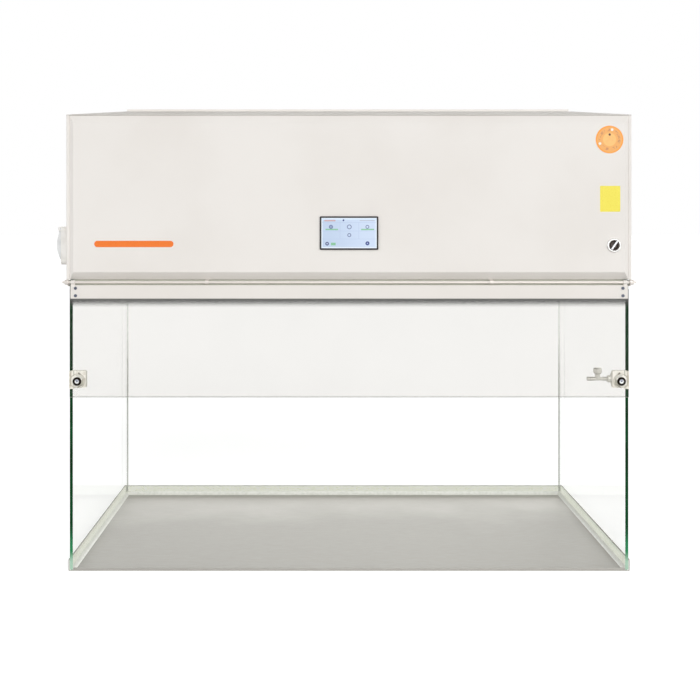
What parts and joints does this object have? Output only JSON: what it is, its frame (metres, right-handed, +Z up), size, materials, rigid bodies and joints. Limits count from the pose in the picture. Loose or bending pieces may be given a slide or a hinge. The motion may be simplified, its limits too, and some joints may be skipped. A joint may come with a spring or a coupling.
{
  "type": "laminar flow hood",
  "caption": "Bench laminar flow hood: a glass work chamber on a steel tray with a hinged front sash, under a sheet-steel housing with blowers and a pleated filter.",
  "frame": {"origin": "underside of the work tray, midway between the side panes and between the panes' front and back edges", "axes": "+X to the user's right, +Y from the user to the back, +Z up"},
  "size_m": [1.0986, 0.6283, 0.8785],
  "materials": {
    "painted_steel": "satin powder coat",
    "sash_paint": "satin paint",
    "rod_metal": "polished",
    "tray_steel": "brushed",
    "pane_glass": "polished, green edges",
    "sash_pane": "polished, green edges",
    "sealant": "silicone",
    "dark_rubber": "matt",
    "clip_plastic": "moulded",
    "bright_steel": "plated",
    "galvanised": "galvanised sheet",
    "air_diffuser": "matt white",
    "filter_metal": "mill finish",
    "filter_paper": "pleated glass-fibre paper",
    "prefilter_card": "card",
    "prefilter_mat": "non-woven",
    "motor_body": "black",
    "wheel_plastic": "moulded",
    "bezel_metal": "anodised grey",
    "screen": "lit panel",
    "board_green": "solder mask",
    "switch_chrome": "polished",
    "black_plastic": "moulded",
    "white_plastic": "moulded",
    "lamp_glass": "clear quartz",
    "lamp_metal": "anodised",
    "lamp_cover": "opal",
    "socket_plastic": "moulded",
    "tap_metal": "nickel plate"
  },
  "bodies": {
    "hood": {"work_tray": "tray_steel", "tray_seal": "sealant", "glass_side_left": "pane_glass", "glass_side_right": "pane_glass", "glass_back": "pane_glass", "pane_packers": "dark_rubber", "ceiling_deck": "painted_steel", "diffuser_plate": "air_diffuser", "housing_shell": "painted_steel", "front_panel": "painted_steel", "roof_lid": "painted_steel", "intake_grille": "painted_steel", "prefilter_frame": "prefilter_card", "prefilter_media": "prefilter_mat", "prefilter_rails": "galvanised", "plenum_shell": "galvanised", "filter_gasket": "dark_rubber", "filter_frame": "filter_metal", "filter_media": "filter_paper", "blower_plate": "galvanised", "inlet_rings": "galvanised", "fan_cages": "galvanised", "motor_left": "motor_body", "motor_right": "motor_body", "hinge_rod": "rod_metal", "rod_brackets": "rod_metal", "rod_nuts": "rod_metal", "rod_clips": "rod_metal", "draught_seal": "dark_rubber", "display_frame": "bezel_metal", "display_screen": "screen", "control_board": "board_green", "switch_rim": "switch_chrome", "switch_block": "black_plastic", "power_supply": "galvanised", "lamp_ballast": "white_plastic", "uv_tube": "lamp_glass", "uv_holders": "white_plastic", "led_bar": "lamp_metal", "led_cover": "lamp_cover", "socket_base": "socket_plastic", "socket_insert": "socket_plastic", "socket_pin": "bright_steel", "tap_body": "tap_metal", "tap_nut": "tap_metal", "mains_inlet": "black_plastic"},
    "sash": {"sash_rail": "sash_paint", "sash_cap_left": "sash_paint", "sash_cap_right": "sash_paint", "rail_screws": "bright_steel", "sash_glass": "sash_pane", "corner_clip_left": "clip_plastic", "corner_clip_right": "clip_plastic", "clip_bumpers": "dark_rubber", "clip_screws": "bright_steel"},
    "socket_flap": {"socket_lid": "socket_plastic"},
    "gas_knob": {"tap_knob": "tap_metal"},
    "power_rotor": {"switch_rotor": "switch_chrome"},
    "wheel_left": {"impeller_left": "wheel_plastic"},
    "wheel_right": {"impeller_right": "wheel_plastic"}
  },
  "joints": [
    {"name": "sash_hinge", "type": "hinge", "parent": "hood", "child": "sash", "pos_m": [0, -0.307, 0.5427], "axis": [-1, 0, 0], "range_deg": [0, 90]},
    {"name": "power_turn", "type": "hinge", "parent": "hood", "child": "power_rotor", "pos_m": [0.498, -0.3, 0.612], "axis": [0, 1, 0], "range_deg": [0, 90]},
    {"name": "socket_flap_hinge", "type": "hinge", "parent": "hood", "child": "socket_flap", "pos_m": [-0.5469, -0.25, 0.6428], "axis": [0, 1, 0], "range_deg": [0, 100], "stiffness_Nm_per_rad": 0.02, "springref_deg": -28.65},
    {"name": "gas_knob_turn", "type": "hinge", "parent": "hood", "child": "gas_knob", "pos_m": [0.489, -0.21, 0.365], "axis": [0, 0, 1], "range_deg": [0, 90]},
    {"name": "blower_left_spin", "type": "hinge", "parent": "hood", "child": "wheel_left", "pos_m": [-0.251, 0.02925, 0.69], "axis": [0, 0, 1], "continuous": true},
    {"name": "blower_right_spin", "type": "hinge", "parent": "hood", "child": "wheel_right", "pos_m": [0.251, 0.02925, 0.69], "axis": [0, 0, 1], "continuous": true}
  ]
}
